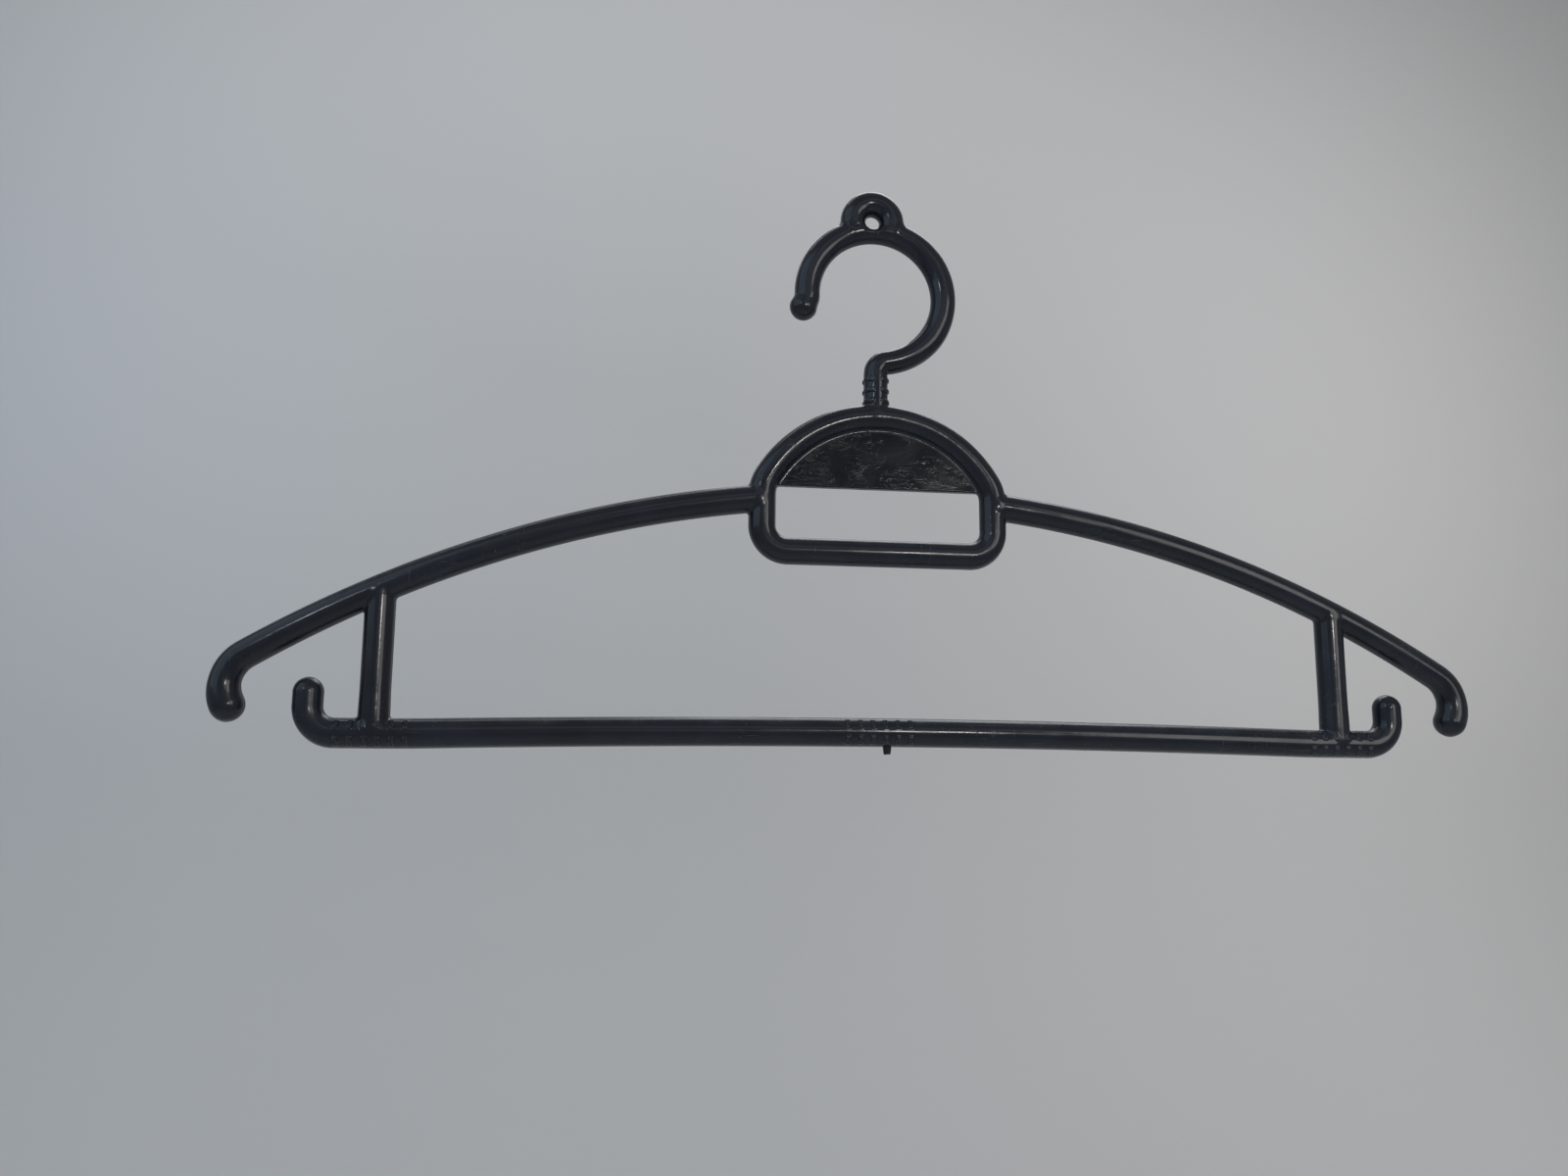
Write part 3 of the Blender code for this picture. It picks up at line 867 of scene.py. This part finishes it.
def build_side(side, sign):
    """The members of one side; places are given for the right side, where sign is 1."""

    def outside(value):
        return lambda p: sign * p[0] - value

    def inside_of(value):
        return lambda p: value - sign * p[0]

    def above_post(p):
        """Parts the arm from its upright, and leaves the rest of the arm alone."""
        return np.where(np.abs(sign * p[0] - UPRIGHT_X) < 8, p[2] - POST_TOP, 5.0)

    def piece(member, field, x_range, z_range, step, keeps):
        left, right = sorted((sign * x_range[0], sign * x_range[1]))
        low, high = (left, -DEPTH, z_range[0]), (right, DEPTH, z_range[1])
        name = f"{side}_{member}"
        show(body_mesh(f"{name}_look", field, low, high, step, keeps), name)

    slope = math.degrees(math.acos(ARM_SPLIT / ARM_R))
    past_split = past(np.array([0, ARM_Z]) + ARM_R * unit(slope), unit(slope - 90), sign)
    bend_centre = np.array([BAR_BEND_X, BAR_Z + BAR_BEND_R])
    past_bend = past(bend_centre + BAR_BEND_R * unit(BAR_BEND_SPLIT - 90),
                     unit(BAR_BEND_SPLIT), sign)

    piece("arm", arm_zone, (45, 190), (-146, -86), 0.55,
          [outside(ARM_CUT), opposite(past_split), above_post])
    piece("arm_tip", arm_zone, (176, 212), (-172, -130), 0.42, [past_split])
    piece("upright", upright_field, (153, 167), (-169, -130), 0.45,
          [below(2, POST_TOP), above(2, POST_FOOT)])
    piece("bar_grip", bar_zone, (146, 180), (-178, -163), 0.23,
          [outside(GRIP_START), opposite(past_bend), below(2, POST_FOOT)])
    piece("strap_hook", bar_zone, (168, 187), (-178, -151), 0.36, [past_bend])
    piece("bar_span", bar_zone, (10, 150), (-178, -162), 0.55,
          [outside(GRIP_HALF), inside_of(GRIP_START)])


def build_bar_middle():
    show(body_mesh("gate_nub_look", gate_field, (-0.2, -2.6, -177.2), (5.0, 2.6, -172.6), 0.14,
                   [], False), "gate_nub")
    show(body_mesh("centre_bar_grip_look", bar_zone, (-15, -DEPTH, -177), (15, DEPTH, -162),
                   0.23, [below(0, GRIP_HALF), above(0, -GRIP_HALF)]), "centre_bar_grip")


build_hook()
build_frame()
build_side("left", -1)
build_side("right", 1)
build_bar_middle()

# ---------------------------------------------------------------- floor, light, camera


FLOOR_FRONT, FLOOR_Z, FLOOR_HALF_WIDTH = -3.0, -1.05, 5.0
SWEEP_Y, SWEEP_Z, SWEEP_R, SWEEP_STEPS = 1.6, -0.15, 0.9, 12
WALL_Y, WALL_TOP = 2.5, 3.2
PAPER = (0.70, 0.70, 0.69, 1)


def backdrop():
    """A pale floor that sweeps up into a wall well behind the hanger."""
    profile = [(FLOOR_FRONT, FLOOR_Z), (SWEEP_Y, FLOOR_Z)]
    for step in range(1, SWEEP_STEPS + 1):
        angle = math.radians(-90 + 90 * step / SWEEP_STEPS)
        along, up = SWEEP_R * math.cos(angle), SWEEP_R * math.sin(angle)
        profile.append((SWEEP_Y + along, SWEEP_Z + up))
    profile.append((WALL_Y, WALL_TOP))
    points = [(x, y, z) for x in (-FLOOR_HALF_WIDTH, FLOOR_HALF_WIDTH) for y, z in profile]
    count = len(profile)
    faces = [(i, i + count, i + count + 1, i + 1) for i in range(count - 1)]
    mesh = bpy.data.meshes.new("backdrop")
    mesh.from_pydata(points, [], faces)
    mesh.polygons.foreach_set("use_smooth", [True] * len(faces))
    mesh.update()
    sheet = bpy.data.objects.new("backdrop", mesh)
    bpy.context.scene.collection.objects.link(sheet)
    paper = bpy.data.materials.new("pale_paper")
    paper.use_nodes = True
    shader = paper.node_tree.nodes["Principled BSDF"]
    shader.inputs["Base Color"].default_value = PAPER
    shader.inputs["Roughness"].default_value = 0.9
    mesh.materials.append(paper)


def area_light(name, place, target, width, height, power, colour):
    """A rectangle of light at a place, facing a target, upright to the eye."""
    data = bpy.data.lights.new(name, "AREA")
    data.shape = "RECTANGLE"
    data.size, data.size_y = width, height
    data.energy = power
    data.color = colour
    lamp = bpy.data.objects.new(name, data)
    bpy.context.scene.collection.objects.link(lamp)
    place, target = np.array(place), np.array(target)
    back = (place - target) / np.linalg.norm(place - target)
    side = np.cross((0, 0, 1), back)
    side /= np.linalg.norm(side)
    up = np.cross(back, side)
    matrix = np.eye(4)
    matrix[:3, :3] = np.stack([side, up, back], 1)
    matrix[:3, 3] = place
    lamp.matrix_world = Matrix(matrix.tolist())


HANGER = (0, 0, -0.1)
LIGHTS = (
    # name, place, target, width, height, watts, colour
    ("window", (0.28, -1.25, 0.03), HANGER, 0.9, 0.12, 0.18, (1.0, 0.98, 0.96)),
    ("lamp", (0.29, -1.05, 0.015), (0, 0, -0.08), 0.10, 0.05, 1.1, (1.0, 0.95, 0.90)),
    ("side", (0.72, -1.0, 0.14), HANGER, 0.42, 0.6, 1.9, (1.0, 0.97, 0.95)),
    ("glint", (-0.62, -1.0, 0.30), HANGER, 0.04, 0.08, 0.4, (0.92, 0.96, 1.0)),
    ("sky", (-1.3, -0.7, 0.7), HANGER, 1.8, 1.5, 5.0, (0.58, 0.79, 1.0)),
    ("front_high", (0.2, -1.6, 0.9), HANGER, 1.6, 0.5, 0.7, (0.96, 0.98, 1.0)),
    ("overhead", (0.0, 0.1, 1.9), (0, 0.1, -0.2), 2.0, 1.4, 9.0, (0.84, 0.92, 1.0)),
    ("behind", (0.5, 1.2, 1.5), HANGER, 1.2, 0.8, 7.0, (0.90, 0.95, 1.0)),
    ("wall_left", (-1.5, 0.9, 0.9), (-1.5, 2.5, 0.7), 0.6, 2.0, 7.0, (0.66, 0.80, 1.0)),
    ("wall_right", (1.9, 0.9, 0.7), (1.9, 2.5, 0.6), 0.6, 2.0, 10.5, (1.0, 0.97, 0.98)),
    ("wall_middle", (0.0, 0.9, 2.2), (0.0, 2.6, 0.6), 2.6, 0.6, 13.5, (0.94, 0.96, 1.0)),
)
AMBIENT, AMBIENT_STRENGTH = (0.96, 0.98, 1.0, 1), 0.21


def lights():
    """Soft light from the sides and above, a low lamp in front for glints, light on the wall."""
    for row in LIGHTS:
        area_light(*row)
    world = bpy.data.worlds.new("studio")
    world.use_nodes = True
    ambient = world.node_tree.nodes["Background"]
    ambient.inputs["Color"].default_value = AMBIENT
    ambient.inputs["Strength"].default_value = AMBIENT_STRENGTH
    bpy.context.scene.world = world
    bpy.context.scene.view_settings.view_transform = "Standard"


# The camera that was fitted to the photo: its turns from a straight view of the hanger's
# front in radians, its place in metres, and its lens.
YAW, PITCH, ROLL = -0.13043108, -0.15158795, 0.00800258
CAMERA_PLACE = (-0.081797, -0.379915, -0.180885)
LENS, SENSOR = 27, 36
CLIP_NEAR, CLIP_FAR = 0.02, 30


def spin(axis, angle):
    """The matrix of a turn about the image's x, y or z axis."""
    first, second = [(1, 2), (2, 0), (0, 1)][axis]
    matrix = np.eye(3)
    matrix[first, first] = matrix[second, second] = math.cos(angle)
    matrix[first, second], matrix[second, first] = -math.sin(angle), math.sin(angle)
    return matrix


def camera():
    turned = spin(2, ROLL) @ spin(0, PITCH) @ spin(1, YAW)
    # The image's x, y and z run right, down and forward; the world's run right, back and up.
    right, down, forward = (np.array([row[0], row[2], -row[1]]) for row in turned)
    matrix = np.eye(4)
    matrix[:3, :3] = np.stack([right, -down, -forward], 1)
    matrix[:3, 3] = CAMERA_PLACE
    data = bpy.data.cameras.new("camera")
    data.lens, data.sensor_width = LENS, SENSOR
    data.clip_start, data.clip_end = CLIP_NEAR, CLIP_FAR
    eye = bpy.data.objects.new("camera", data)
    eye.matrix_world = Matrix(matrix.tolist())
    bpy.context.scene.collection.objects.link(eye)
    bpy.context.scene.camera = eye


backdrop()
lights()
camera()

bpy.context.view_layer.update()
